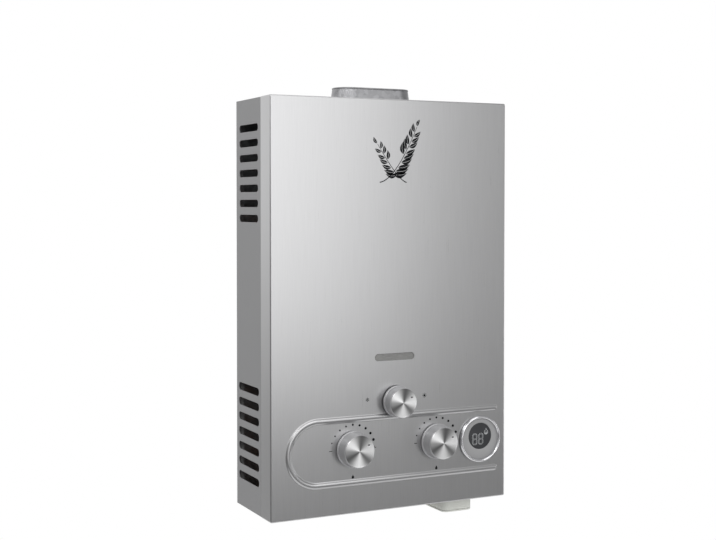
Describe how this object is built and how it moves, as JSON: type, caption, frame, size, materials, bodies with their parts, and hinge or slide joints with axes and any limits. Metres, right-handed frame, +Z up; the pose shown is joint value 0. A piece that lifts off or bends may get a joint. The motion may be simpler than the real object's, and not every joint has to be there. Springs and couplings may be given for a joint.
{
  "type": "wall-hung gas water heater",
  "caption": "Flat upright steel cabinet with an oval flue collar, three turning control knobs, a round display, side louvres and pipe ports below; heats running water with gas.",
  "frame": {"origin": "middle of the four wall fixing holes, on the back panel's rear face", "axes": "+X to the right seen from the front, +Y into the wall, +Z up"},
  "size_m": [0.335, 0.1369, 0.5597],
  "materials": {
    "stainless_front": "brushed",
    "grey_paint": "satin",
    "galvanised": "matte",
    "knob_shell": "satin",
    "knob_disc": "spun",
    "bezel_chrome": "polished",
    "display_grey": "satin",
    "display_dark": "glossy",
    "circuit_board": "satin",
    "clear_glass": "clear",
    "brass": "machined",
    "steel_zinc": "zinc plated",
    "cast_aluminium": "cast",
    "black_rubber": "matte",
    "black_plastic": "moulded",
    "white_plastic": "moulded",
    "copper": "drawn copper",
    "stainless_inner": "rolled",
    "white_ceramic": "glazed",
    "cell_wrap": "sleeve",
    "spring_steel": "wire",
    "lead_insulation": "silicone"
  },
  "bodies": {
    "heater": {"back_panel": "grey_paint", "left_side_panel": "grey_paint", "right_side_panel": "grey_paint", "top_panel": "grey_paint", "bottom_panel": "grey_paint", "front_cover": "stainless_front", "sight_glass": "clear_glass", "sight_glass_frame": "steel_zinc", "display_bezel": "bezel_chrome", "display_housing": "display_grey", "display_lens": "display_dark", "display_board": "circuit_board", "gas_valve_body": "cast_aluminium", "solenoid_valve": "steel_zinc", "water_valve_body": "brass", "diaphragm": "black_rubber", "diaphragm_cover": "brass", "diaphragm_screws": "steel_zinc", "push_rod_spring": "spring_steel", "micro_switch": "black_plastic", "valve_bracket": "steel_zinc", "port_nipples": "brass", "port_locknuts": "brass", "inlet_filter": "stainless_inner", "burner_frame": "stainless_inner", "burner_bars": "stainless_inner", "gas_manifold": "cast_aluminium", "burner_nozzles": "brass", "gas_feed_pipe": "copper", "electrodes": "white_ceramic", "exchanger_shell": "copper", "exchanger_fins": "copper", "exchanger_tubes": "copper", "cold_water_pipe": "copper", "hot_water_pipe": "copper", "thermostat": "steel_zinc", "water_sensor": "steel_zinc", "flue_hood": "galvanised", "flue_collar": "galvanised", "chassis_brackets": "steel_zinc", "igniter_box": "black_plastic", "battery_box": "white_plastic", "battery_cells": "cell_wrap", "cell_springs": "spring_steel", "electrode_leads": "lead_insulation", "control_leads": "lead_insulation", "machine_screws": "steel_zinc"},
    "gas_control": {"gas_knob": "knob_shell", "gas_knob_face": "knob_disc", "gas_spindle": "brass"},
    "water_control": {"water_knob": "knob_shell", "water_knob_face": "knob_disc", "water_spindle": "brass"},
    "season_control": {"season_knob": "knob_shell", "season_knob_face": "knob_disc", "season_spindle": "brass"},
    "linkage": {"push_rod": "brass"},
    "lever": {"switch_lever": "steel_zinc"},
    "drain": {"drain_plug": "black_plastic"},
    "battery_lid": {"battery_door": "white_plastic"}
  },
  "joints": [
    {"name": "gas_knob_turn", "type": "hinge", "parent": "heater", "child": "gas_control", "pos_m": [-0.0565, -0.116, -0.1785], "axis": [0, -1, 0], "range_deg": [-30, 150]},
    {"name": "water_knob_turn", "type": "hinge", "parent": "heater", "child": "water_control", "pos_m": [0.0635, -0.116, -0.1785], "axis": [0, -1, 0], "range_deg": [-30, 150]},
    {"name": "season_knob_turn", "type": "hinge", "parent": "heater", "child": "season_control", "pos_m": [0.005, -0.116, -0.1226], "axis": [0, -1, 0], "range_deg": [0, 120]},
    {"name": "push_rod_slide", "type": "slide", "parent": "heater", "child": "linkage", "axis": [-1, 0, 0], "range_m": [0, 0.004], "stiffness_N_per_m": 500, "springref_m": -0.004, "deforming": ["push_rod_spring"]},
    {"name": "switch_lever_tilt", "type": "hinge", "parent": "heater", "child": "lever", "pos_m": [0.0058, -0.045, -0.1625], "axis": [0, 1, 0], "range_deg": [0, 16]},
    {"name": "drain_plug_turn", "type": "hinge", "parent": "heater", "child": "drain", "pos_m": [0.084, -0.045, -0.26], "axis": [0, 0, -1], "range_deg": [0, 340]},
    {"name": "battery_door_swing", "type": "hinge", "parent": "heater", "child": "battery_lid", "pos_m": [0.1143, -0.0111, -0.27965], "axis": [1, 0, 0], "range_deg": [0, 100]}
  ],
  "couplings": [
    {"joint": "switch_lever_tilt", "follows": "push_rod_slide", "rad_per_m": 68}
  ]
}
